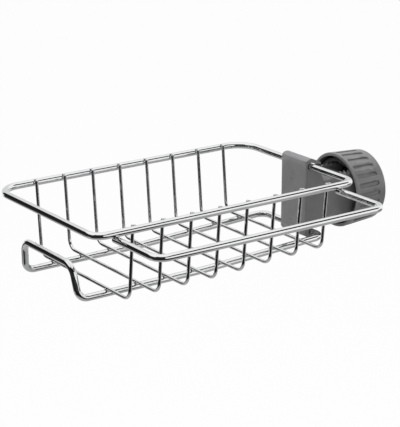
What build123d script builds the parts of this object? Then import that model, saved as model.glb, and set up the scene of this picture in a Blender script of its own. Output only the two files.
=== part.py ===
from build123d import *
from math import atan2, ceil, degrees, radians, sqrt, tan
import os

# Sponge holder: a welded wire basket with a towel bar and a raised end bar. It hangs on a
# plastic bracket, and a ribbed screw knob clamps the bracket round an upright pipe.
# Millimetres. The origin is on the pipe's axis at the height of the knob's axis, +Z runs
# up the pipe, and +X runs from the basket through the pipe to the knob.

# Wire stock
THICK_WIRE = 5.2
THIN_WIRE = 2.5
WELD_BITE = 0.3

# Basket rim, between wire centre lines
RIM_LENGTH = 225.0
RIM_DEPTH = 136.0
RIM_FRONT_CORNER = 9.5
RIM_BACK_CORNER = 18.0

# Where the rim hangs: from the pipe's axis, above the knob's axis, and to the back
PIPE_TO_RIM = 24.5
RIM_ABOVE_AXIS = 28.2
BASKET_SIDESTEP = 2.5

# Base frame, which rises gently towards the bracket
BASKET_HEIGHT = 57.0
BASE_WIDTH = 73.8
BASE_SIDESTEP = 6.6
BASE_FREE_INSET = 8.8
BASE_CLAMP_REACH = 2.5
BASE_RISE = 4.5
BASE_RISE_RUN = 115.0
BASE_RISE_BEND = 150.0
BASE_CORNER = 8.0

# Raised bar at the basket's free end
BRIDGE_HEIGHT = 24.5
BRIDGE_WIDTH = 65.8
BRIDGE_LEAN = 2.5
BRIDGE_CORNER = 9.0

# Cross wires, each a U from the back rim down across the base and up to the front rim
CROSS_WIRE_COUNT = 8
CROSS_WIRE_PITCH = 24.3
CROSS_WIRE_INSET = 23.0
CROSS_WIRE_BEND = 8.0
CROSS_WIRE_DROP = 0.4
FLOOR_DEPTH = 118.7

# Towel bar, a U under the front rim
TOWEL_REACH = 48.7
TOWEL_FREE_INSET = 17.0
TOWEL_CLAMP_INSET = 13.4
TOWEL_CORNER = 9.0

# Pipe that the holder is clamped to, and the two rubber pads that grip it
PIPE_DIAMETER = 22.0
PAD_THICKNESS = 2.2
PAD_HEIGHT = 26.0
SADDLE_PAD_HALF_ANGLE = 58.0
PRESSURE_PAD_HALF_ANGLE = 48.0

# Bracket: grooves that snap over the wires, cheeks beside the pipe, prongs with a thread
BRACKET_WIDTH = 30.0
BRACKET_CORNER = 3.5
CHEEK_WALL = 3.25
SADDLE_WALL = 3.0
GRIP_CLEARANCE = 0.4
HOOK_WALL = 3.15
HOOK_LIP_REACH = 8.7
HOOK_LIP_LIFT = 1.4
HOOK_LIP_RADIUS = 1.2
CLIP_WALL = 1.95
CLIP_LIP_REACH = 4.8
SNAP_MOUTH = 3.4
SNAP_RUN = 11.0
CORE_WALL = 3.0
PRONG_REACH = 30.8
EJECTOR_MARK_RADIUS = 0.9
EJECTOR_MARK_DEPTH = 0.3
EJECTOR_MARK_SPACING = 33.0

# Screw thread that the knob turns on
THREAD_HEIGHT = 1.4
THREAD_PITCH = 4.0
THREAD_CREST = 1.1
THREAD_ROOT = 2.1
THREAD_CLEARANCE = 0.3
THREAD_ROOTING = 0.3
PRONG_THREAD_START = 1.0
KNOB_THREAD_TURNS = 4.0

# Knob
KNOB_LENGTH = 30.6
KNOB_MOUTH_RADIUS = 29.7
KNOB_END_RADIUS = 27.8
KNOB_MOUTH_GAP = 0.8
KNOB_SHELL = 2.6
KNOB_END_WALL = 3.0
KNOB_END_ROUNDING = 2.5
KNOB_LIP_ROUNDING = 1.2
KNOB_GROOVE_DEPTH = 16.0
KNOB_GROOVE_WIDTH = 1.8
SLEEVE_WALL = 3.0
SLEEVE_RECESS = 4.0
FLUTE_COUNT = 24
FLUTE_TURN = 12.5
FLUTE_LENGTH = 20.9
FLUTE_WIDTH = 3.3
FLUTE_DEPTH = 0.9
FLUTE_CORNER = 1.2
FLUTE_START = 2.3

# Pressure block, which slides between the cheeks and turns on a stem in the knob
SLIDING_CLEARANCE = 0.3
RUNNING_CLEARANCE = 0.05
BLOCK_WALL = 4.3
BLOCK_HEIGHT = 28.0
STEM_RADIUS = 4.0
STEM_LENGTH = 14.0
STEM_HEAD_STEP = 0.6
STEM_HEAD_LENGTH = 2.8
STEM_SLOT = 1.2
BOSS_WALL = 4.0
THRUST_GAP = 0.3

# One overrun for every cut
OVERRUN = 5.0

# Basket places that follow from the sizes above
rim_clamp_x = -PIPE_TO_RIM
rim_free_x = rim_clamp_x - RIM_LENGTH
rim_front_y = BASKET_SIDESTEP - RIM_DEPTH / 2
rim_back_y = BASKET_SIDESTEP + RIM_DEPTH / 2
rim_z = RIM_ABOVE_AXIS
base_z = rim_z - BASKET_HEIGHT
base_clamp_x = rim_clamp_x + BASE_CLAMP_REACH
base_clamp_z = base_z + BASE_RISE
base_free_x = rim_free_x + BASE_FREE_INSET
base_rise_x = base_clamp_x - BASE_RISE_RUN
base_middle_y = BASKET_SIDESTEP + BASE_SIDESTEP

# Clamp places
grip_radius = PIPE_DIAMETER / 2
pad_seat_radius = grip_radius + PAD_THICKNESS
channel_half = BRACKET_WIDTH / 2 - CHEEK_WALL
groove_radius = THICK_WIRE / 2 + GRIP_CLEARANCE
hook_radius = groove_radius + HOOK_WALL
plate_x = rim_clamp_x - hook_radius
saddle_back_x = -(pad_seat_radius + SADDLE_WALL)
clip_bottom_z = base_clamp_z - groove_radius - CLIP_WALL
clip_lip_x = base_clamp_x + CLIP_LIP_REACH
sleeve_radius = KNOB_MOUTH_RADIUS - KNOB_SHELL - KNOB_GROOVE_WIDTH
thread_crest_radius = sleeve_radius - SLEEVE_WALL - THREAD_CLEARANCE
thread_core_radius = thread_crest_radius - THREAD_HEIGHT
knob_mouth_x = grip_radius + KNOB_MOUTH_GAP
knob_end_x = knob_mouth_x + KNOB_LENGTH
block_back_x = pad_seat_radius + BLOCK_WALL
block_half_width = channel_half - SLIDING_CLEARANCE


def rod(points, bend, diameter, closed=False):
    """Wire of round stock bent at each inner point."""
    path = FilletPolyline(*points, radius=bend, close=closed)
    start = path.edges()[0]
    section = Plane(origin=start @ 0, z_dir=start % 0) * Circle(diameter / 2)
    return sweep(section, path=path.wire() if closed else path)


def base_height(x):
    """Height of the base frame's wire at x, level at first and rising to the clamp end."""
    climb = max(x - base_rise_x, 0) / BASE_RISE_RUN
    return base_z + BASE_RISE * climb


def rim_wire():
    points = [
        (rim_free_x, rim_front_y, rim_z),
        (rim_clamp_x, rim_front_y, rim_z),
        (rim_clamp_x, rim_back_y, rim_z),
        (rim_free_x, rim_back_y, rim_z),
    ]
    bends = [RIM_FRONT_CORNER, RIM_FRONT_CORNER, RIM_BACK_CORNER, RIM_BACK_CORNER]
    return rod(points, bends, THICK_WIRE, closed=True)


def base_frame_wire():
    front = base_middle_y - BASE_WIDTH / 2
    back = base_middle_y + BASE_WIDTH / 2
    bridge_x = base_free_x - BRIDGE_LEAN
    bridge_z = base_z + BRIDGE_HEIGHT
    points = [
        (bridge_x, base_middle_y - BRIDGE_WIDTH / 2, bridge_z),
        (base_free_x, front, base_z),
        (base_rise_x, front, base_z),
        (base_clamp_x, front, base_clamp_z),
        (base_clamp_x, back, base_clamp_z),
        (base_rise_x, back, base_z),
        (base_free_x, back, base_z),
        (bridge_x, base_middle_y + BRIDGE_WIDTH / 2, bridge_z),
    ]
    bends = [BRIDGE_CORNER, BASE_CORNER, BASE_RISE_BEND, BASE_CORNER]
    return rod(points, bends + bends[::-1], THICK_WIRE, closed=True)


def cross_wire(x):
    top_z = rim_z + THICK_WIRE / 2 - CROSS_WIRE_DROP
    floor_z = base_height(x) + (THICK_WIRE + THIN_WIRE) / 2 - WELD_BITE
    inset = (THICK_WIRE + THIN_WIRE) / 2 - WELD_BITE
    floor_back = BASKET_SIDESTEP + FLOOR_DEPTH / 2
    floor_front = BASKET_SIDESTEP - FLOOR_DEPTH / 2
    points = [
        (x, rim_back_y - inset, top_z),
        (x, floor_back, floor_z),
        (x, floor_front, floor_z),
        (x, rim_front_y + inset, top_z),
    ]
    return rod(points, CROSS_WIRE_BEND, THIN_WIRE)


def towel_bar():
    z = rim_z - THICK_WIRE + WELD_BITE
    end_y = rim_front_y + THICK_WIRE / 2
    bar_y = rim_front_y - TOWEL_REACH
    free_x = rim_free_x + TOWEL_FREE_INSET
    clamp_x = rim_clamp_x - TOWEL_CLAMP_INSET
    points = [(free_x, end_y, z), (free_x, bar_y, z), (clamp_x, bar_y, z), (clamp_x, end_y, z)]
    return rod(points, TOWEL_CORNER, THICK_WIRE)


def slab(face, z_low, z_high):
    """A plan-view face made solid between two heights."""
    return extrude(Plane.XY.offset(z_low) * face, amount=z_high - z_low)


def side_slab(face, half_width):
    """A side-view face, drawn in X and Z, made solid to both sides of the middle plane."""
    return extrude(Plane.XZ * face, amount=half_width, both=True)


def tapered_slot(x, z, radius, end_x, end_z, end_radius):
    """Side-view outline that runs from one circle to another in straight tangents."""
    circles = [Pos(x, z) * Circle(radius), Pos(end_x, end_z) * Circle(end_radius)]
    return make_hull([edge for circle in circles for edge in circle.edges()])


def pad(half_angle, height):
    """Curved rubber strip on the -X side of the pipe."""
    reach = pad_seat_radius + OVERRUN
    spread = reach * tan(radians(half_angle))
    wedge = make_face(Polyline((0, 0), (-reach, spread), (-reach, -spread), close=True))
    channel = Rectangle(2 * reach, 2 * block_half_width)
    strip = (Circle(pad_seat_radius) - Circle(grip_radius)) & wedge & channel
    return slab(strip, -height / 2, height / 2)


def thread_ridge(inner, outer, crest_at_inner, start_x, turns):
    """Helical ridge about the X axis, narrow at its crest."""
    helix = Helix(THREAD_PITCH, THREAD_PITCH * turns, inner, (start_x, 0, 0), (1, 0, 0))
    start = helix @ 0
    outward = Vector(0, start.Y, start.Z).normalized()
    narrow, wide = THREAD_CREST / 2, THREAD_ROOT / 2
    near, far = (narrow, wide) if crest_at_inner else (wide, narrow)
    depth = outer - inner
    outline = Polyline((0, -near), (depth, -far), (depth, far), (0, near), close=True)
    section = Plane(origin=start, x_dir=outward, z_dir=helix % 0) * make_face(outline)
    return sweep(section, path=helix, is_frenet=True)


def bracket_side():
    """Side view of the bracket: plate, hook over the rim, clip round the base, cheeks."""
    seat_z = rim_z - SNAP_MOUTH / 2
    cheek_half = sqrt(thread_core_radius**2 - (BRACKET_WIDTH / 2) ** 2)
    cheek_x = saddle_back_x + SADDLE_WALL + PAD_THICKNESS
    hook = tapered_slot(
        rim_clamp_x, rim_z, hook_radius,
        rim_clamp_x + HOOK_LIP_REACH, rim_z + HOOK_LIP_LIFT, HOOK_LIP_RADIUS,
    )
    flank = make_face(Polyline(
        (plate_x, rim_z), (plate_x, clip_bottom_z), (clip_lip_x, clip_bottom_z),
        (clip_lip_x, base_clamp_z + groove_radius), (cheek_x, -cheek_half),
        (cheek_x, cheek_half), (clip_lip_x, seat_z), (rim_clamp_x, seat_z),
        (rim_clamp_x, rim_z), close=True,
    ))
    lip_corner = flank.vertices().sort_by_distance((clip_lip_x, clip_bottom_z))[0]
    flank = fillet(lip_corner, CLIP_WALL / 2)
    heel_corner = flank.vertices().sort_by_distance((plate_x, clip_bottom_z))[0]
    flank = fillet(heel_corner, base_clamp_x - plate_x)
    rim_groove = tapered_slot(
        rim_clamp_x, rim_z, groove_radius,
        rim_clamp_x + SNAP_RUN, rim_z - SNAP_MOUTH / 2, SNAP_MOUTH / 2,
    )
    base_groove = tapered_slot(
        base_clamp_x, base_clamp_z, groove_radius,
        base_clamp_x + SNAP_RUN, base_clamp_z, SNAP_MOUTH / 2,
    )
    return hook + flank - rim_groove - base_groove


def bracket_core_x():
    """Where the pocket behind the grooves starts, clear of the rim's groove."""
    return rim_clamp_x + groove_radius + CORE_WALL / 4


def prong_thread():
    """The parts of one long screw thread that are left on the two prongs."""
    reach = PRONG_REACH - PRONG_THREAD_START
    turns = reach / THREAD_PITCH - 1
    inner = thread_core_radius - THREAD_ROOTING
    ridge = thread_ridge(inner, thread_crest_radius, False, prong_thread_x(), turns)
    cheek = Box(reach + OVERRUN, CHEEK_WALL, 2 * thread_crest_radius + OVERRUN)
    middle_x = PRONG_THREAD_START + reach / 2
    cheek_y = BRACKET_WIDTH / 2 - CHEEK_WALL / 2
    sides = [Pos(middle_x, side * cheek_y, 0) * cheek for side in (-1, 1)]
    return [ridge & side for side in sides]


def prong_thread_x():
    """Where the prong's ridge starts, half a pitch short of a whole turn."""
    return PRONG_THREAD_START + THREAD_PITCH / 2


def clamp_bracket():
    width = BRACKET_WIDTH
    length = PRONG_REACH - plate_x
    plan = RectangleRounded(length + BRACKET_CORNER, width, BRACKET_CORNER)
    plan = Pos(plate_x + (length + BRACKET_CORNER) / 2, 0) * plan
    top_z = rim_z + hook_radius + OVERRUN
    body = side_slab(bracket_side(), width / 2) & slab(plan, clip_bottom_z - OVERRUN, top_z)

    stub_x = saddle_back_x
    stub = Plane.YZ.offset(stub_x) * Circle(thread_core_radius)
    stub = extrude(stub, amount=PRONG_REACH - stub_x)
    flats = Pos((stub_x + PRONG_REACH) / 2, 0, 0)
    flats = flats * Box(PRONG_REACH - stub_x, width, 2 * thread_core_radius)
    body = body + (stub & flats)

    throat = Pos((PRONG_REACH + OVERRUN) / 2, 0) * Rectangle(
        PRONG_REACH + OVERRUN, 2 * channel_half
    )
    saddle = Circle(pad_seat_radius) & Rectangle(2 * pad_seat_radius, 2 * channel_half)
    body = body - slab(throat + saddle, clip_bottom_z - OVERRUN, rim_z - SNAP_MOUTH)

    core_x = bracket_core_x()
    core_length = saddle_back_x - core_x
    rib = CORE_WALL / 2
    core = Pos(core_x + core_length / 2, rib / 2 + channel_half / 2) * Rectangle(
        core_length, channel_half - rib
    )
    cores = core + mirror(core, about=Plane.XZ)
    body = body - slab(cores, base_clamp_z + groove_radius + CLIP_WALL, rim_z - SNAP_MOUTH / 2)

    mark = Rot(0, 90, 0) * Cylinder(EJECTOR_MARK_RADIUS, 2 * EJECTOR_MARK_DEPTH)
    for side in (-1, 1):
        body = body - Pos(plate_x, 0, side * EJECTOR_MARK_SPACING / 2) * mark
    for piece in prong_thread():
        body = body + piece
    return body


def knob_cone(wall):
    """Half outline of the knob's cone, or of the space inside a wall of its shell."""
    return make_face(Polyline(
        (knob_end_x, 0), (knob_end_x, KNOB_END_RADIUS - wall),
        (knob_mouth_x, KNOB_MOUTH_RADIUS - wall), (knob_mouth_x, 0), close=True,
    ))


def knob_mouth_hollow(sleeve_x):
    """Half outline of the recess in the mouth and of the groove round the sleeve."""
    groove_x = knob_mouth_x + KNOB_GROOVE_DEPTH
    space = make_face(Polyline(
        (knob_mouth_x, 0), (knob_mouth_x, KNOB_MOUTH_RADIUS), (groove_x, KNOB_MOUTH_RADIUS),
        (groove_x, sleeve_radius), (sleeve_x, sleeve_radius), (sleeve_x, 0), close=True,
    ))
    return space & knob_cone(KNOB_SHELL)


def clamp_knob():
    inner_face_x = knob_end_x - KNOB_END_WALL
    draft = (KNOB_MOUTH_RADIUS - KNOB_END_RADIUS) / KNOB_LENGTH
    bore = thread_crest_radius + THREAD_CLEARANCE
    sleeve_x = knob_mouth_x + SLEEVE_RECESS
    boss_x = block_back_x + THRUST_GAP
    boss_bore = STEM_RADIUS + RUNNING_CLEARANCE
    boss = boss_bore + BOSS_WALL
    head_x = block_back_x + STEM_LENGTH - THRUST_GAP
    head_bore = STEM_RADIUS + STEM_HEAD_STEP + SLIDING_CLEARANCE
    head_end_x = block_back_x + STEM_LENGTH + STEM_HEAD_LENGTH + THRUST_GAP
    outline = knob_cone(0) - knob_mouth_hollow(sleeve_x) - make_face(Polyline(
        (sleeve_x, 0), (sleeve_x, bore), (inner_face_x, bore), (inner_face_x, boss),
        (boss_x, boss), (boss_x, boss_bore), (head_x, boss_bore), (head_x, head_bore),
        (head_end_x, head_bore), (head_end_x, 0), close=True,
    ))
    end_corner = outline.vertices().sort_by_distance((knob_end_x, KNOB_END_RADIUS))[0]
    outline = fillet(end_corner, KNOB_END_ROUNDING)
    lip_corner = outline.vertices().sort_by_distance((knob_mouth_x, KNOB_MOUTH_RADIUS))[0]
    outline = fillet(lip_corner, KNOB_LIP_ROUNDING)
    body = revolve(Plane.XZ * outline, axis=Axis.X)

    crest = thread_core_radius + THREAD_CLEARANCE
    first_gap_x = prong_thread_x() + THREAD_PITCH / 2
    first_turn = ceil((sleeve_x + THREAD_ROOT / 2 - first_gap_x) / THREAD_PITCH)
    ridge_x = first_gap_x + THREAD_PITCH * first_turn
    ridge = thread_ridge(crest, bore + THREAD_ROOTING, True, ridge_x, KNOB_THREAD_TURNS)
    body = body + ridge

    tilt = degrees(atan2(KNOB_MOUTH_RADIUS - KNOB_END_RADIUS, KNOB_LENGTH))
    middle = FLUTE_START + FLUTE_LENGTH / 2
    surface = Location(
        (knob_mouth_x + middle, 0, KNOB_MOUTH_RADIUS - draft * middle), (0, tilt, 0)
    )
    cutter = RectangleRounded(FLUTE_LENGTH, FLUTE_WIDTH, FLUTE_CORNER)
    cutter = extrude(cutter, amount=OVERRUN) + extrude(cutter, amount=-FLUTE_DEPTH)
    pitch = 360 / FLUTE_COUNT
    turns = [FLUTE_TURN + pitch * number for number in range(FLUTE_COUNT)]
    return body - [Rot(turn, 0, 0) * (surface * cutter) for turn in turns]


def pressure_block():
    plan = Pos(block_back_x / 2, 0) * Rectangle(block_back_x, 2 * block_half_width)
    body = slab(plan - Circle(pad_seat_radius), -BLOCK_HEIGHT / 2, BLOCK_HEIGHT / 2)
    knob_bore = Plane.YZ * Circle(thread_core_radius - SLIDING_CLEARANCE)
    body = body & extrude(knob_bore, amount=block_back_x)
    length = STEM_LENGTH + STEM_HEAD_LENGTH
    head = STEM_RADIUS + STEM_HEAD_STEP
    tip = STEM_RADIUS - STEM_HEAD_STEP
    outline = make_face(Polyline(
        (0, 0), (0, STEM_RADIUS), (STEM_LENGTH, STEM_RADIUS), (STEM_LENGTH, head),
        (length, tip), (length, 0), close=True,
    ))
    stem = Pos(block_back_x, 0, 0) * revolve(Plane.XZ * outline, axis=Axis.X)
    slot_length = STEM_LENGTH / 2 + STEM_HEAD_LENGTH
    slot = Pos(block_back_x + length - slot_length / 2, 0, 0)
    slot = slot * Box(slot_length, STEM_SLOT, 2 * head)
    return body + (stem - slot)


def saddle_pad():
    return pad(SADDLE_PAD_HALF_ANGLE, PAD_HEIGHT)


def pressure_pad():
    return Rot(0, 0, 180) * pad(PRESSURE_PAD_HALF_ANGLE, PAD_HEIGHT)


def nodes():
    """Every piece of the holder under the name of its node."""
    pieces = {
        "rim_wire": rim_wire(),
        "base_frame_wire": base_frame_wire(),
        "towel_bar": towel_bar(),
        "clamp_bracket": clamp_bracket(),
        "saddle_pad": saddle_pad(),
        "pressure_block": pressure_block(),
        "pressure_pad": pressure_pad(),
        "clamp_knob": clamp_knob(),
    }
    last_x = rim_clamp_x - CROSS_WIRE_INSET
    for number in range(CROSS_WIRE_COUNT):
        x = last_x - number * CROSS_WIRE_PITCH
        pieces[f"cross_wire_{CROSS_WIRE_COUNT - number}"] = cross_wire(x)
    return pieces


os.makedirs("parts", exist_ok=True)
for name, piece in nodes().items():
    export_step(piece, f"parts/{name}.step")
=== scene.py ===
import logging
import math
from collections.abc import Iterable, Sequence
from dataclasses import dataclass, field
from enum import Enum

import bmesh
import bpy
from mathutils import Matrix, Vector


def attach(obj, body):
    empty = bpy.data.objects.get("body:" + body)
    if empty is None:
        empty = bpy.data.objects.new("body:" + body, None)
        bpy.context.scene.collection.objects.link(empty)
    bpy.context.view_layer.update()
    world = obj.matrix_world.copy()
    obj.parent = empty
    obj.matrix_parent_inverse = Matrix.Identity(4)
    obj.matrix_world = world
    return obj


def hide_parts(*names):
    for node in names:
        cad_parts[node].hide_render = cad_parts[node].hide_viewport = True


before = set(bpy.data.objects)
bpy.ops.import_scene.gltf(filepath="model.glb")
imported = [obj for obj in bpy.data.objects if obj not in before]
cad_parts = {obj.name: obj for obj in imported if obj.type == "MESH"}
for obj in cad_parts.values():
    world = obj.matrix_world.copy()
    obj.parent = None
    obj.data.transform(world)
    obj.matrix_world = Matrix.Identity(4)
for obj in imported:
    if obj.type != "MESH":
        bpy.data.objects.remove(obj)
log = logging.getLogger("sponge_holder")

Point = tuple[float, float, float]
Colour = tuple[float, float, float]
Sockets = dict[str | int, object]
# A level direction, by its x and y
Way = tuple[float, float]
# Where a change starts and where it is complete
Onset = tuple[float, float]

MM = 0.001


class Body(Enum):
    """The bodies that pieces ride on."""

    BASKET = "basket"
    BRACKET = "bracket"
    PUSHER = "pusher"
    KNOB = "knob"


class Slot(Enum):
    """The record's material slots."""

    WIRE = "chrome_wire"
    PLASTIC = "grey_plastic"
    RUBBER = "rubber_pad"


# Node trees


class Graph:
    """A node tree that is written as calls."""

    def __init__(self, tree: bpy.types.NodeTree) -> None:
        """Takes the shader, world or geometry tree that the nodes go into."""
        self.tree = tree

    def add(
        self,
        kind: str,
        settings: dict[str, object] | None = None,
        sockets: Sockets | None = None,
    ) -> bpy.types.Node:
        """Adds one node.

        Args:
            kind: the node's type.
            settings: properties that are set before the sockets.
            sockets: values or links for the inputs, by name or place.

        Returns:
            The new node.
        """
        node = self.tree.nodes.new(kind)
        for name, value in (settings or {}).items():
            setattr(node, name, value)
        for key, value in (sockets or {}).items():
            self.feed(node.inputs[key], value)
        return node

    def feed(self, socket: bpy.types.NodeSocket, value: object) -> None:
        """Links or sets one input.

        Args:
            socket: the input.
            value: a Value, an output socket, or a plain number, colour or thing.
        """
        if isinstance(value, Value):
            self.tree.links.new(value.socket, socket)
        elif isinstance(value, bpy.types.NodeSocket):
            self.tree.links.new(value, socket)
        else:
            socket.default_value = value

    def maths(self, operation: str, *numbers: "Value | float") -> "Value":
        """Adds one Math node.

        Args:
            operation: the node's operation.
            numbers: its numbers, in order.

        Returns:
            The result.
        """
        sockets = dict(enumerate(numbers))
        node = self.add("ShaderNodeMath", {"operation": operation}, sockets)
        return Value(self, node.outputs[0])


class Value:
    """A number in a tree, on which Python's operators add Math nodes."""

    def __init__(self, graph: Graph, socket: bpy.types.NodeSocket) -> None:
        """Takes the tree that new nodes go into and the output that holds the number."""
        self.graph = graph
        self.socket = socket

    def __add__(self, other: "Value | float") -> "Value":
        """The sum."""
        return self.graph.maths("ADD", self, other)

    __radd__ = __add__

    def __sub__(self, other: "Value | float") -> "Value":
        """The difference."""
        return self.graph.maths("SUBTRACT", self, other)

    def __rsub__(self, other: float) -> "Value":
        """The difference from a number."""
        return self.graph.maths("SUBTRACT", other, self)

    def __mul__(self, other: "Value | float") -> "Value":
        """The product."""
        return self.graph.maths("MULTIPLY", self, other)

    __rmul__ = __mul__

    def __truediv__(self, other: "Value | float") -> "Value":
        """The quotient."""
        return self.graph.maths("DIVIDE", self, other)

    def rise(self, low: float, high: float) -> "Value":
        """A smooth step, which falls instead where low is above high.

        Args:
            low: where it leaves 0.
            high: where it reaches 1.

        Returns:
            The step, from 0 to 1.
        """
        if low > high:
            return 1 - self.rise(high, low)
        node = self.graph.add(
            "ShaderNodeMapRange",
            {"interpolation_type": "SMOOTHSTEP"},
            {"Value": self, "From Min": low, "From Max": high},
        )
        return Value(self.graph, node.outputs["Result"])


def along(x: Value, y: Value, way: Way) -> Value:
    """How far the point x, y lies along a level direction."""
    return x * way[0] + y * way[1]


@dataclass(frozen=True)
class Noise:
    """A pattern's patch size in metres, with the number and strength of its finer layers."""

    size: float
    detail: float = 2.0
    roughness: float = 0.5


class Painter(Graph):
    """A shader tree with the few sources that the finishes share."""

    NOISE_MIDDLE = 0.5
    CREASE_SAMPLES = 8

    @classmethod
    def fresh(cls, owner: bpy.types.Material | bpy.types.World) -> "Painter":
        """Empties the nodes of a material or world.

        Args:
            owner: the material or world.

        Returns:
            A painter for its empty tree.
        """
        owner.use_nodes = True
        owner.node_tree.nodes.clear()
        return cls(owner.node_tree)

    def place(self) -> bpy.types.NodeSocket:
        """The point on the piece, in metres."""
        return self.add("ShaderNodeTexCoord").outputs["Object"]

    def parts(self, vector: bpy.types.NodeSocket) -> tuple[Value, Value, Value]:
        """Splits a vector.

        Args:
            vector: the vector's socket.

        Returns:
            Its three numbers.
        """
        node = self.add("ShaderNodeSeparateXYZ", None, {0: vector})
        x, y, z = (Value(self, output) for output in node.outputs)
        return x, y, z

    def rays(self) -> tuple[Value, Value]:
        """Whether a ray comes from the camera, and whether it is a mirrored one."""
        path = self.add("ShaderNodeLightPath").outputs
        return Value(self, path["Is Camera Ray"]), Value(self, path["Is Glossy Ray"])

    def noise(self, pattern: Noise) -> Value:
        """Noise on the piece.

        Args:
            pattern: how coarse and how detailed it is.

        Returns:
            The noise, from 0 to 1.
        """
        node = self.add(
            "ShaderNodeTexNoise",
            {"noise_dimensions": "3D"},
            {
                "Vector": self.place(),
                "Scale": 1 / pattern.size,
                "Detail": pattern.detail,
                "Roughness": pattern.roughness,
            },
        )
        return Value(self, node.outputs[0])

    def crease(self, reach: float) -> Value:
        """How far a point lies in a corner or under an edge of its own piece, for painting shade
        there.

        Args:
            reach: how near the other surface has to be, in metres.

        Returns:
            The crease, from 0 in the open to 1.
        """
        node = self.add(
            "ShaderNodeAmbientOcclusion",
            {"only_local": True, "samples": self.CREASE_SAMPLES},
            {"Distance": reach},
        )
        return 1 - Value(self, node.outputs["AO"])

    def blend(self, amount: Value | float, first: object, second: object) -> bpy.types.NodeSocket:
        """Mixes two colours.

        Args:
            amount: 0 for the first, 1 for the second.
            first: a colour or its socket.
            second: a colour or its socket.

        Returns:
            The mixed colour's socket.
        """
        sockets: Sockets = {"Factor": amount}
        for key, colour in (("A", first), ("B", second)):
            sockets[key] = (*colour, 1.0) if isinstance(colour, tuple) else colour
        return self.add("ShaderNodeMix", {"data_type": "RGBA"}, sockets).outputs["Result"]

    def bump(self, height: Value, depth: float) -> bpy.types.NodeSocket:
        """Turns a height from 0 to 1, which stands for a depth in metres, into a normal."""
        return self.add("ShaderNodeBump", None, {"Height": height, "Distance": depth}).outputs[0]


# Finishes


@dataclass(frozen=True)
class Finish:
    """A named finish, told by what feeds its shader."""

    name: str

    def sockets(self, paint: Painter) -> Sockets:
        """What feeds the shader: nothing, where a finish doesn't say more."""
        return {}

    def material(self) -> bpy.types.Material:
        """Builds the material round a Principled shader.

        Returns:
            The material.
        """
        material = bpy.data.materials.new(self.name)
        paint = Painter.fresh(material)
        shader = paint.add("ShaderNodeBsdfPrincipled", None, self.sockets(paint))
        paint.add("ShaderNodeOutputMaterial", None, {"Surface": shader.outputs[0]})
        return material


@dataclass(frozen=True)
class ChromeFinish(Finish):
    """Bright chrome plating over drawn steel wire."""

    name: str = "chrome_plate"
    bright: Colour = (0.86, 0.865, 0.87)
    dull: Colour = (0.74, 0.75, 0.765)
    clouds: Noise = Noise(18 * MM, 3.0, 0.6)
    cloud_edges: Onset = (0.45, 0.75)
    cloud_dulling: float = 0.6
    cloud_haze: float = 0.035
    scuffs: Noise = Noise(1.6 * MM, 2.0, 0.6)
    scuff_haze: float = 0.02
    polish: float = 0.045
    ripple: Noise = Noise(9 * MM, 1.0)
    ripple_depth: float = 0.012 * MM

    def sockets(self, paint: Painter) -> Sockets:
        """Feeds the plating, with slightly hazy patches and a faint ripple.

        Args:
            paint: the material's painter.

        Returns:
            What feeds the shader.
        """
        cloud = paint.noise(self.clouds).rise(*self.cloud_edges)
        scuff = paint.noise(self.scuffs)
        return {
            "Base Color": paint.blend(cloud * self.cloud_dulling, self.bright, self.dull),
            "Metallic": 1.0,
            "Roughness": self.polish + cloud * self.cloud_haze + scuff * self.scuff_haze,
            "Normal": paint.bump(paint.noise(self.ripple), self.ripple_depth),
        }


@dataclass(frozen=True)
class PlasticFinish(Finish):
    """Grey moulded plastic with a fine satin grain."""

    name: str = "grey_moulding"
    colour: Colour = (0.158, 0.158, 0.162)
    rubbed: Colour = (0.185, 0.185, 0.189)
    # Colour of the shade painted into creases, and into the knob's mouth.
    painted_shade: Colour = (0.03, 0.03, 0.031)
    patches: Noise = Noise(14 * MM, 3.0, 0.55)
    patch_edges: Onset = (0.4, 0.75)
    patch_rub: float = 0.7
    patch_haze: float = 0.12
    grain: Noise = Noise(0.35 * MM, 2.0, 0.6)
    grain_haze: float = 0.1
    grain_depth: float = 0.035 * MM
    satin: float = 0.3
    specular: float = 0.65
    crease_reach: float = 1.5 * MM
    # How strongly shade is painted into creases.
    crease_shade: float = 0.8

    def sockets(self, paint: Painter) -> Sockets:
        """Feeds the plastic, with a fine grain, uneven gloss and painted shade in its creases.

        Args:
            paint: the material's painter.

        Returns:
            What feeds the shader.
        """
        patch = paint.noise(self.patches)
        grain = paint.noise(self.grain)
        worn = patch.rise(*self.patch_edges) * self.patch_rub
        colour = paint.blend(worn, self.colour, self.rubbed)
        # Painted shade: corners and places under edges are darkened in the colour by ambient
        # occlusion.
        crease = paint.crease(self.crease_reach) * self.crease_shade
        patch_haze = (patch - paint.NOISE_MIDDLE) * self.patch_haze
        grain_haze = (grain - paint.NOISE_MIDDLE) * self.grain_haze
        return {
            "Base Color": paint.blend(crease, self.shade(paint, colour), self.painted_shade),
            "Roughness": self.satin + patch_haze + grain_haze,
            "Specular IOR Level": self.specular,
            "Normal": paint.bump(grain, self.grain_depth),
        }

    def shade(self, paint: Painter, colour: bpy.types.NodeSocket) -> bpy.types.NodeSocket:
        """Paints extra shade into the colour where a piece has it; this one paints none."""
        return colour


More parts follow.
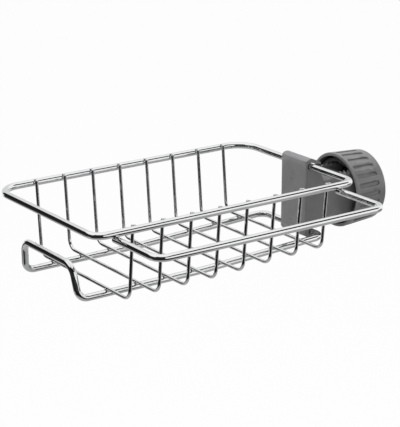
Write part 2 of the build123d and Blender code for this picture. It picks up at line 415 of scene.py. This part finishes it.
@dataclass(frozen=True)
class KnobFinish(PlasticFinish):
    """The same plastic on the knob, with stronger painted shade round its flutes and painted
    shade inside its mouth.
    """

    name: str = "knob_moulding"
    mouth_x: float = 11.8 * MM
    mouth_radius: float = 29.7 * MM
    mouth_fade: float = 2.36 * MM
    end_radius: float = 27.8 * MM
    length: float = 30.6 * MM
    shell: float = 2.6 * MM
    shell_fade: float = 0.65 * MM
    # How strongly shade is painted inside the mouth.
    inside_shade: float = 0.85
    crease_reach: float = 0.9 * MM
    # Stronger shade painted into the flutes' creases.
    crease_shade: float = 1.7

    def shade(self, paint: Painter, colour: bpy.types.NodeSocket) -> bpy.types.NodeSocket:
        """Paints shade on the inside, down from the mouth.

        Args:
            paint: the material's painter.
            colour: the plain colour.

        Returns:
            The colour with painted shade inside.
        """
        x, y, z = paint.parts(paint.place())
        radius = paint.maths("SQRT", y * y + z * z)
        taper = (self.mouth_radius - self.end_radius) / self.length
        surface = self.mouth_radius - (x - self.mouth_x) * taper
        under = (surface - radius).rise(self.shell - self.shell_fade, self.shell)
        past_mouth = x.rise(self.mouth_x, self.mouth_x + self.mouth_fade)
        # Painted shade: surfaces below the shell, past the mouth, are darkened.
        return paint.blend(under * past_mouth * self.inside_shade, colour, self.painted_shade)


@dataclass(frozen=True)
class RubberFinish(Finish):
    """Black rubber with a dusty bloom."""

    name: str = "pad_rubber"
    colour: Colour = (0.018, 0.018, 0.019)
    bloom: Colour = (0.05, 0.05, 0.052)
    patches: Noise = Noise(5 * MM, 3.0, 0.6)
    patch_edges: Onset = (0.4, 0.7)
    patch_bloom: float = 0.6
    tooth: Noise = Noise(0.4 * MM, 2.0, 0.6)
    tooth_haze: float = 0.12
    tooth_depth: float = 0.06 * MM
    matte: float = 0.78

    def sockets(self, paint: Painter) -> Sockets:
        """Feeds the rubber, with a bloom in patches and a fine tooth.

        Args:
            paint: the material's painter.

        Returns:
            What feeds the shader.
        """
        patch = paint.noise(self.patches).rise(*self.patch_edges)
        tooth = paint.noise(self.tooth)
        return {
            "Base Color": paint.blend(patch * self.patch_bloom, self.colour, self.bloom),
            "Roughness": self.matte + tooth * self.tooth_haze,
            "Normal": paint.bump(tooth, self.tooth_depth),
        }


# Meshes and the trees that grow them


def new_object(name: str, data: bpy.types.ID) -> bpy.types.Object:
    """Puts a mesh, camera or lamp into the scene.

    Args:
        name: the object's name.
        data: its mesh, camera or lamp.

    Returns:
        The new object, at the origin.
    """
    made = bpy.data.objects.new(name, data)
    bpy.context.scene.collection.objects.link(made)
    return made


def settle(made: bpy.types.Object, modifier: bpy.types.Modifier) -> bpy.types.Object:
    """Keeps what a modifier makes as the object's plain mesh.

    Args:
        made: the object.
        modifier: its one modifier.

    Returns:
        The same object with its new mesh and no modifier.
    """
    made.update_tag()
    graph = bpy.context.evaluated_depsgraph_get()
    settled = bpy.data.meshes.new_from_object(made.evaluated_get(graph), depsgraph=graph)
    made.modifiers.remove(modifier)
    made.data = settled
    settled.name = made.name
    return made


def smooth(mesh: bpy.types.Mesh, crease: float) -> None:
    """Shades a mesh smooth, with edges past the crease angle in degrees kept sharp."""
    mesh.polygons.foreach_set("use_smooth", [True] * len(mesh.polygons))
    mesh.set_sharp_from_angle(angle=math.radians(crease))


class GrowthTree(Graph):
    """A geometry tree with named inputs, which ends in real faces with their plating."""

    def __init__(self, name: str, inputs: dict[str, str]) -> None:
        """Makes the tree with its inputs and its output.

        Args:
            name: the tree's name.
            inputs: the kind of number of each named input, Float or Int.
        """
        super().__init__(bpy.data.node_groups.new(name, "GeometryNodeTree"))
        face = self.tree.interface
        kinds = {"Geometry": "Geometry", **inputs, "Plating": "Material"}
        for label, kind in kinds.items():
            face.new_socket(label, in_out="INPUT", socket_type=f"NodeSocket{kind}")
        face.new_socket("Geometry", in_out="OUTPUT", socket_type="NodeSocketGeometry")
        self.given = self.add("NodeGroupInput").outputs

    def close(self, shape: bpy.types.NodeSocket) -> None:
        """Ends the tree.

        Args:
            shape: the geometry that the tree has made so far.
        """
        real = self.add("GeometryNodeRealizeInstances", None, {0: shape})
        sockets: Sockets = {0: real.outputs[0], "Material": self.given["Plating"]}
        plated = self.add("GeometryNodeSetMaterial", None, sockets)
        self.add("NodeGroupOutput", None, {0: plated.outputs[0]})

    def grow(
        self, made: bpy.types.Object, inputs: dict[str, object], crease: float
    ) -> bpy.types.Object:
        """Runs the tree on an object and keeps the result as its plain mesh.

        Args:
            made: the object that the tree starts from.
            inputs: values for the tree's named inputs.
            crease: the angle in degrees past which an edge stays sharp.

        Returns:
            The same object with its new mesh and no modifier.
        """
        modifier = made.modifiers.new("grow", "NODES")
        modifier.node_group = self.tree
        items = self.tree.interface.items_tree
        keys = {item.name: item.identifier for item in items if item.in_out == "INPUT"}
        for name, value in inputs.items():
            modifier[keys[name]] = value
        settle(made, modifier)
        smooth(made.data, crease)
        return made


class WireBender(GrowthTree):
    """Turns a path of straight runs into bent round wire."""

    BEND = "bend_radius"
    RING_SIDES = 28
    BEND_STEPS = 12
    CREASE = 50.0

    def __init__(self) -> None:
        """Builds the tree once for all wires."""
        inputs = {"Wire Radius": "Float", "Ring Sides": "Int", "Bend Steps": "Int"}
        super().__init__("bent_wire", inputs)
        given = self.given
        line = self.add("GeometryNodeMeshToCurve", None, {"Mesh": given["Geometry"]})
        bend = self.add(
            "GeometryNodeInputNamedAttribute", {"data_type": "FLOAT"}, {"Name": self.BEND}
        )
        bent = self.add(
            "GeometryNodeFilletCurve",
            {"mode": "POLY"},
            {
                "Curve": line.outputs[0],
                "Count": given["Bend Steps"],
                "Radius": bend.outputs[0],
                "Limit Radius": True,
            },
        )
        ring = self.add(
            "GeometryNodeCurvePrimitiveCircle",
            {"mode": "RADIUS"},
            {"Resolution": given["Ring Sides"], "Radius": given["Wire Radius"]},
        )
        tube = self.add(
            "GeometryNodeCurveToMesh",
            None,
            {"Curve": bent.outputs[0], "Profile Curve": ring.outputs[0], "Fill Caps": True},
        )
        self.close(tube.outputs[0])

    def bend(
        self,
        name: str,
        points: Sequence[Point],
        bends: Sequence[float],
        radius: float,
        plating: bpy.types.Material,
        closed: bool = False,
    ) -> bpy.types.Object:
        """Makes one wire.

        Args:
            name: the piece's name.
            points: the corners of its centre line.
            bends: the bend's radius at each corner.
            radius: the wire's radius.
            plating: its material.
            closed: whether the last corner joins the first.

        Returns:
            The wire as a plain mesh.
        """
        mesh = bpy.data.meshes.new(name)
        last = len(points) if closed else len(points) - 1
        edges = [(i, (i + 1) % len(points)) for i in range(last)]
        mesh.from_pydata(points, edges, [])
        bend = mesh.attributes.new(self.BEND, "FLOAT", "POINT")
        bend.data.foreach_set("value", list(bends))
        inputs = {
            "Wire Radius": radius,
            "Ring Sides": self.RING_SIDES,
            "Bend Steps": self.BEND_STEPS,
            "Plating": plating,
        }
        return self.grow(new_object(name, mesh), inputs, self.CREASE)


class BeadWelder(GrowthTree):
    """Puts an uneven weld bead on each point."""

    SEGMENTS = 12
    RINGS = 8
    SEED = 7
    CREASE = 180.0

    def __init__(self) -> None:
        """Builds the tree."""
        super().__init__("weld_beads", {"Bead Radius": "Float", "Unevenness": "Float"})
        given = self.given
        ball = self.add(
            "GeometryNodeMeshUVSphere",
            None,
            {"Segments": self.SEGMENTS, "Rings": self.RINGS, "Radius": given["Bead Radius"]},
        )
        size = self.add(
            "FunctionNodeRandomValue",
            {"data_type": "FLOAT"},
            {"Min": 1 - Value(self, given["Unevenness"]), "Max": 1.0, "Seed": self.SEED},
        )
        placed = self.add(
            "GeometryNodeInstanceOnPoints",
            None,
            {
                "Points": given["Geometry"],
                "Instance": ball.outputs[0],
                "Scale": size.outputs["Value"],
            },
        )
        self.close(placed.outputs[0])

    def weld(
        self,
        name: str,
        places: Sequence[Point],
        radius: float,
        unevenness: float,
        plating: bpy.types.Material,
    ) -> bpy.types.Object:
        """Makes all the beads as one piece.

        Args:
            name: the piece's name.
            places: the middle of each bead.
            radius: the largest bead's radius.
            unevenness: the share that the smallest bead is smaller by.
            plating: their material.

        Returns:
            The beads as a plain mesh.
        """
        mesh = bpy.data.meshes.new(name)
        mesh.from_pydata(places, [], [])
        inputs = {"Bead Radius": radius, "Unevenness": unevenness, "Plating": plating}
        return self.grow(new_object(name, mesh), inputs, self.CREASE)


# The holder


@dataclass
class WireBasket:
    """The welded wire basket, with sizes in millimetres and places from the origin."""

    plating: bpy.types.Material
    thick: float = 5.2
    thin: float = 2.5
    weld: float = 0.3
    rim_length: float = 225.0
    rim_depth: float = 136.0
    rim_front_corner: float = 9.5
    rim_back_corner: float = 18.0
    rim_clamp_x: float = -24.5
    rim_z: float = 28.2
    middle_y: float = 2.5
    height: float = 57.0
    base_width: float = 73.8
    base_sidestep: float = 6.6
    base_free_inset: float = 8.8
    base_clamp_reach: float = 2.5
    base_rise: float = 4.5
    base_rise_run: float = 115.0
    base_rise_bend: float = 150.0
    base_corner: float = 8.0
    bridge_height: float = 24.5
    bridge_width: float = 65.8
    bridge_lean: float = 2.5
    bridge_corner: float = 9.0
    cross_count: int = 8
    cross_pitch: float = 24.3
    cross_inset: float = 23.0
    cross_bend: float = 8.0
    cross_drop: float = 0.4
    floor_depth: float = 118.7
    towel_reach: float = 48.7
    towel_free_inset: float = 17.0
    towel_clamp_inset: float = 13.4
    towel_corner: float = 9.0
    bead_radius: float = 1.0
    bead_unevenness: float = 0.25
    bead_clear: float = 0.25
    bead_sink: float = 0.25
    bead_spread: float = 0.9
    bead_lift: float = 0.3
    top_bead_spread: float = 0.3
    top_bead_inset: float = 1.4
    bender: WireBender = field(default_factory=WireBender)
    welder: BeadWelder = field(default_factory=BeadWelder)

    def metres(self, points: Iterable[Point]) -> list[Point]:
        """The same points in metres."""
        return [(x * MM, y * MM, z * MM) for x, y, z in points]

    @property
    def rim_free_x(self) -> float:
        """The rim's end away from the clamp."""
        return self.rim_clamp_x - self.rim_length

    @property
    def rim_front(self) -> float:
        """The centre of the rim's front wire."""
        return self.middle_y - self.rim_depth / 2

    @property
    def rim_back(self) -> float:
        """The centre of the rim's back wire."""
        return self.middle_y + self.rim_depth / 2

    @property
    def base_middle(self) -> float:
        """The middle of the base frame, a little to the back of the rim's."""
        return self.middle_y + self.base_sidestep

    def base_height(self, x: float) -> float:
        """The height of the base frame's centre line.

        Args:
            x: the place along the basket.

        Returns:
            The height, level at first and rising to the clamp.
        """
        start = self.rim_clamp_x + self.base_clamp_reach - self.base_rise_run
        climb = max(x - start, 0) / self.base_rise_run
        return self.rim_z - self.height + self.base_rise * climb

    def cross_places(self) -> list[float]:
        """Where the cross wires stand along the basket, from the free end."""
        last = self.rim_clamp_x - self.cross_inset
        return [last - n * self.cross_pitch for n in reversed(range(self.cross_count))]

    def wire(
        self,
        node: str,
        points: Sequence[Point],
        bends: Sequence[float],
        thickness: float,
        closed: bool = False,
    ) -> None:
        """Makes one wire and lets it stand for its node.

        Args:
            node: the node's name.
            points: the corners of the centre line.
            bends: the bend's radius at each corner.
            thickness: the wire's diameter.
            closed: whether it is a loop.
        """
        made = self.bender.bend(
            f"{node}_plated",
            self.metres(points),
            [bend * MM for bend in bends],
            thickness / 2 * MM,
            self.plating,
            closed,
        )
        self.mount(made, node)

    def mount(self, made: bpy.types.Object, *nodes: str) -> None:
        """Lets a piece ride on the basket and stand for its nodes.

        Args:
            made: the piece.
            nodes: the nodes that it replaces.
        """
        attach(made, Body.BASKET.value)
        if nodes:
            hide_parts(*nodes)
        log.info("%s: %d faces", made.name, len(made.data.polygons))

    def rim(self) -> None:
        """Makes the loop round the top."""
        low_x, high_x, z = self.rim_free_x, self.rim_clamp_x, self.rim_z
        points = [
            (low_x, self.rim_front, z),
            (high_x, self.rim_front, z),
            (high_x, self.rim_back, z),
            (low_x, self.rim_back, z),
        ]
        bends = [self.rim_front_corner] * 2 + [self.rim_back_corner] * 2
        self.wire("rim_wire", points, bends, self.thick, closed=True)

    def base_frame(self) -> None:
        """Makes the loop under the basket with its raised bar."""
        middle = self.base_middle
        front, back = middle - self.base_width / 2, middle + self.base_width / 2
        bar_front, bar_back = middle - self.bridge_width / 2, middle + self.bridge_width / 2
        free_x = self.rim_free_x + self.base_free_inset
        clamp_x = self.rim_clamp_x + self.base_clamp_reach
        rise_x = clamp_x - self.base_rise_run
        low, high = self.base_height(free_x), self.base_height(clamp_x)
        bridge_x, bridge_z = free_x - self.bridge_lean, low + self.bridge_height
        points = [
            (bridge_x, bar_front, bridge_z),
            (free_x, front, low),
            (rise_x, front, low),
            (clamp_x, front, high),
            (clamp_x, back, high),
            (rise_x, back, low),
            (free_x, back, low),
            (bridge_x, bar_back, bridge_z),
        ]
        bends = [self.bridge_corner, self.base_corner, self.base_rise_bend, self.base_corner]
        self.wire("base_frame_wire", points, bends + bends[::-1], self.thick, closed=True)

    def towel_bar(self) -> None:
        """Makes the U in front, under the rim."""
        z = self.rim_z - self.thick + self.weld
        end_y = self.rim_front + self.thick / 2
        bar_y = self.rim_front - self.towel_reach
        free_x = self.rim_free_x + self.towel_free_inset
        clamp_x = self.rim_clamp_x - self.towel_clamp_inset
        points = [
            (free_x, end_y, z),
            (free_x, bar_y, z),
            (clamp_x, bar_y, z),
            (clamp_x, end_y, z),
        ]
        self.wire("towel_bar", points, [self.towel_corner] * 4, self.thick)

    def cross_wires(self) -> None:
        """Makes the thin wires that form the basket's sides and floor."""
        inset = (self.thick + self.thin) / 2 - self.weld
        top = self.rim_z + self.thick / 2 - self.cross_drop
        for number, x in enumerate(self.cross_places(), 1):
            low = self.base_height(x) + inset
            points = [
                (x, self.rim_back - inset, top),
                (x, self.middle_y + self.floor_depth / 2, low),
                (x, self.middle_y - self.floor_depth / 2, low),
                (x, self.rim_front + inset, top),
            ]
            self.wire(f"cross_wire_{number}", points, [self.cross_bend] * 4, self.thin)

    def weld_beads(self) -> None:
        """Makes the small beads where the thin wires are welded on."""
        places: list[Point] = []
        clear = self.thick / 2 + self.bead_clear
        rim_top = self.rim_z + self.thick / 2 - self.bead_sink
        beside_rim = self.rim_z + self.bead_lift
        for x in self.cross_places():
            for side in (-1, 1):
                beside_x, top_x = x + side * self.bead_spread, x + side * self.top_bead_spread
                for rim_y, inward in ((self.rim_front, 1), (self.rim_back, -1)):
                    places.append((beside_x, rim_y + inward * clear, beside_rim))
                    places.append((top_x, rim_y + inward * self.top_bead_inset, rim_top))
                base_y = self.base_middle + side * self.base_width / 2
                for step in (-self.bead_spread, self.bead_spread):
                    places.append((x + step, base_y, self.base_height(x) + clear))
        made = self.welder.weld(
            "weld_beads",
            self.metres(places),
            self.bead_radius * MM,
            self.bead_unevenness,
            self.plating,
        )
        self.mount(made)

    def build(self) -> None:
        """Makes every wire and its welds."""
        self.rim()
        self.base_frame()
        self.towel_bar()
        self.cross_wires()
        self.weld_beads()


@dataclass
class MouldedPiece:
    """A plastic or rubber piece that keeps its exact shape and gets smooth shading."""

    node: str
    body: Body
    slot: Slot
    finish: bpy.types.Material
    crease: float = 28.0
    merge: float = 0.002 * MM
    flat_weight: int = 100

    def build(self) -> None:
        """Copies the node's mesh, merges it, and dresses it."""
        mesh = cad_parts[self.node].data.copy()
        mesh.name = f"{self.node}_finished"
        shell = bmesh.new()
        shell.from_mesh(mesh)
        bmesh.ops.remove_doubles(shell, verts=shell.verts, dist=self.merge)
        shell.to_mesh(mesh)
        shell.free()
        mesh.materials.clear()
        mesh.materials.append(self.finish)
        smooth(mesh, self.crease)
        made = self.even_shading(new_object(mesh.name, mesh))
        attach(made, self.body.value)
        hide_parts(self.node)
        log.info("%s: %d faces", made.name, len(made.data.polygons))

    def even_shading(self, made: bpy.types.Object) -> bpy.types.Object:
        """Lets large flat faces keep their own shading beside rounded edges.

        Args:
            made: an object with a smooth mesh.

        Returns:
            The same object with weighted normals and no modifier.
        """
        modifier = made.modifiers.new("weigh", "WEIGHTED_NORMAL")
        modifier.keep_sharp = True
        modifier.weight = self.flat_weight
        return settle(made, modifier)


# The studio


def stand(made: bpy.types.Object, place: Point, forward: Vector) -> None:
    """Puts a camera or lamp at its place and turns it.

    Args:
        made: the camera or lamp.
        place: where it stands.
        forward: the direction that it looks or shines in.
    """
    made.location = place
    made.rotation_mode = "QUATERNION"
    made.rotation_quaternion = forward.to_track_quat("-Z", "Y")


@dataclass(frozen=True)
class PhotoCamera:
    """The photograph's camera.

    The picture's sizes are in pixels, the angles in radians, the place and the clip distances in
    metres, and the sensor in millimetres.
    """

    frame_width: float = 400.0
    frame_height: float = 427.0
    focal_pixels: float = 1630.87
    centre_x: float = 191.98
    centre_y: float = 212.78
    yaw: float = 0.616
    pitch: float = 0.307
    place: Point = (-0.7889, -0.9380, 0.3703)
    sensor: float = 36.0
    nearest: float = 0.01
    farthest: float = 100.0

    def build(self) -> None:
        """Makes the camera and lets the scene use it."""
        data = bpy.data.cameras.new("photo_camera")
        long_side = max(self.frame_width, self.frame_height)
        data.sensor_width = self.sensor
        data.lens = self.focal_pixels * self.sensor / long_side
        data.shift_x = (self.frame_width / 2 - self.centre_x) / long_side
        data.shift_y = (self.centre_y - self.frame_height / 2) / long_side
        data.clip_start = self.nearest
        data.clip_end = self.farthest
        level = math.cos(self.pitch)
        x, y = math.sin(self.yaw) * level, math.cos(self.yaw) * level
        made = new_object("photo_camera", data)
        stand(made, self.place, Vector((x, y, -math.sin(self.pitch))))
        bpy.context.scene.camera = made


@dataclass(frozen=True)
class Floor:
    """The plain pale floor, and the greys of it that chrome mirrors.

    Lengths are metres. A way is a level direction, and a turn is how far that way a point lies,
    as a share of its distance. Each pair holds where a change starts and where it is complete.
    """

    half: float = 12.0
    z: float = -0.60
    grey: Colour = (0.6, 0.6, 0.6)
    paleness: float = 0.97
    front_grey: float = 0.38
    front_reach: Onset = (1.9, 2.9)
    corner_way: Way = (0.914, -0.407)
    corner_turn: Onset = (0.925, 0.95)
    corner_reach: Onset = (1.4, 1.7)
    corner_dark: float = 0.88
    back_grey: float = 0.45
    back_gain: float = 0.5
    back_reach: Onset = (1.3, 1.9)
    back_turn: Onset = (-0.1, 0.3)
    near_turn: Onset = (0.3, 0.0)
    near_reach: Onset = (0.6, 0.85)
    left_way: Way = (-0.906, -0.423)
    left_turn: Onset = (-0.09, 0.03)
    left_reach: Onset = (1.1, 1.4)
    left_dark: float = 0.97

    def build(self) -> None:
        """Makes the floor, which the camera sees pale and which keeps the shadow."""
        mesh = bpy.data.meshes.new("floor")
        half, z = self.half, self.z
        corners = [(-half, -half, z), (half, -half, z), (half, half, z), (-half, half, z)]
        mesh.from_pydata(corners, [], [(0, 1, 2, 3)])
        material = bpy.data.materials.new("pale_floor")
        paint = Painter.fresh(material)
        matte = paint.add("ShaderNodeBsdfDiffuse", None, {"Color": (*self.grey, 1.0)})
        seen, gloss = paint.rays()
        level = seen + gloss * self.shine(paint)
        glow = paint.add("ShaderNodeEmission", None, {"Color": level, "Strength": 1.0})
        mixed = paint.add(
            "ShaderNodeMixShader",
            None,
            {0: seen * self.paleness + gloss, 1: matte.outputs[0], 2: glow.outputs[0]},
        )
        paint.add("ShaderNodeOutputMaterial", None, {"Surface": mixed.outputs[0]})
        mesh.materials.append(material)
        new_object("floor", mesh)

    def shine(self, paint: Painter) -> Value:
        """The floor as chrome mirrors it: light behind, grey in front, dark to the front left.

        Args:
            paint: the floor material's painter.

        Returns:
            The brightness.
        """
        x, y, _ = paint.parts(paint.place())
        reach = paint.maths("SQRT", x * x + y * y)
        onwards = y / reach
        near = onwards.rise(*self.near_turn) * reach.rise(*self.near_reach)
        leftwards = along(x, y, self.left_way) / reach
        far = reach.rise(*self.left_reach)
        dark = leftwards.rise(*self.left_turn) * paint.maths("MAXIMUM", far, near)
        rightwards = along(x, y, self.corner_way) / reach
        corner = rightwards.rise(*self.corner_turn) * reach.rise(*self.corner_reach)
        front = self.front_grey + reach.rise(*self.front_reach) * (1 - self.front_grey)
        front = front * (1 - corner * self.corner_dark)
        back = self.back_grey + reach.rise(*self.back_reach) * self.back_gain
        level = front + onwards.rise(*self.back_turn) * (back - front)
        return level * (1 - dark * self.left_dark)


@dataclass(frozen=True)
class Surroundings:
    """The soft studio round the object, with the dark flags that chrome needs.

    A side tells how much of a direction points along x or y, and a top or bottom how much of it
    points up. Each pair holds where a change starts and where it is complete.
    """

    flag_dark: float = 0.985
    front_side: Onset = (-0.05, -0.25)
    front_bottom: Onset = (0.40, 0.48)
    front_top: Onset = (0.80, 0.74)
    left_side: Onset = (-0.12, -0.24)
    left_top: Onset = (0.57, 0.51)
    back_side: Onset = (0.2, 0.6)
    back_top: Onset = (0.72, 0.45)
    back_dark: float = 0.25
    fill: float = 0.7
    shade_way: Way = (-0.58, -0.78)
    shade_turn: Onset = (0.0, 0.8)
    shade_dark: float = 0.5

    def build(self) -> None:
        """Makes the world, white to the camera."""
        world = bpy.data.worlds.new("studio")
        bpy.context.scene.world = world
        paint = Painter.fresh(world)
        x, y, z = paint.parts(paint.add("ShaderNodeTexCoord").outputs["Generated"])
        seen, gloss = paint.rays()
        lit = gloss * self.shine(x, y, z) + (1 - gloss) * self.light(x, y)
        level = seen + (1 - seen) * lit
        sky = paint.add("ShaderNodeBackground", None, {"Color": level, "Strength": 1.0})
        paint.add("ShaderNodeOutputWorld", None, {"Surface": sky.outputs[0]})

    def shine(self, x: Value, y: Value, z: Value) -> Value:
        """What chrome mirrors: white, a dark flag in front and on the left, and a dim backdrop.

        Args:
            x: the direction's share to the right.
            y: its share onwards.
            z: its share upwards.

        Returns:
            The brightness.
        """
        front = y.rise(*self.front_side) * z.rise(*self.front_bottom) * z.rise(*self.front_top)
        left = x.rise(*self.left_side) * z.rise(*self.left_top)
        backdrop = 1 - y.rise(*self.back_side) * z.rise(*self.back_top) * self.back_dark
        return (1 - front * self.flag_dark) * (1 - left * self.flag_dark) * backdrop

    def light(self, x: Value, y: Value) -> Value:
        """The light that falls on everything, weaker from the front left."""
        return self.fill - along(x, y, self.shade_way).rise(*self.shade_turn) * self.shade_dark


@dataclass(frozen=True)
class Lamp:
    """A square soft lamp that chrome doesn't mirror, in metres and watts."""

    name: str
    place: Point
    size: float
    power: float
    target: Point = (-0.1, 0.0, 0.0)

    def build(self) -> None:
        """Hangs the lamp and turns it to its target."""
        data = bpy.data.lights.new(self.name, "AREA")
        data.size = self.size
        data.energy = self.power
        made = new_object(self.name, data)
        stand(made, self.place, Vector(self.target) - Vector(self.place))
        made.visible_glossy = False


@dataclass(frozen=True)
class Studio:
    """The camera, the floor, the surroundings, and lamps overhead, on the left and in front."""

    camera: PhotoCamera = PhotoCamera()
    floor: Floor = Floor()
    surroundings: Surroundings = Surroundings()
    lamps: tuple[Lamp, ...] = (
        Lamp("top_softbox", place=(-0.1, 0.3, 1.3), size=1.0, power=16.0),
        Lamp("left_softbox", place=(-1.6, 0.2, 0.5), size=1.0, power=12.0),
        Lamp("front_softbox", place=(-0.7, -1.5, 0.4), size=0.8, power=8.0),
    )

    def build(self) -> None:
        """Makes the camera first, then the rest in order."""
        bpy.context.scene.view_settings.view_transform = "Standard"
        for part in (self.camera, self.floor, self.surroundings, *self.lamps):
            part.build()


def main() -> None:
    """Builds the studio and every piece in order."""
    logging.basicConfig(level=logging.INFO, format="%(name)s %(message)s")
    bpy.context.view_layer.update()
    chrome = ChromeFinish().material()
    plastic = PlasticFinish().material()
    knob_plastic = KnobFinish().material()
    rubber = RubberFinish().material()
    Studio().build()
    WireBasket(plating=chrome).build()
    for piece in (
        MouldedPiece("clamp_bracket", Body.BRACKET, Slot.PLASTIC, plastic),
        MouldedPiece("saddle_pad", Body.BRACKET, Slot.RUBBER, rubber),
        MouldedPiece("pressure_block", Body.PUSHER, Slot.PLASTIC, plastic),
        MouldedPiece("pressure_pad", Body.PUSHER, Slot.RUBBER, rubber),
        MouldedPiece("clamp_knob", Body.KNOB, Slot.PLASTIC, knob_plastic),
    ):
        piece.build()


if __name__ == "__main__":
    main()
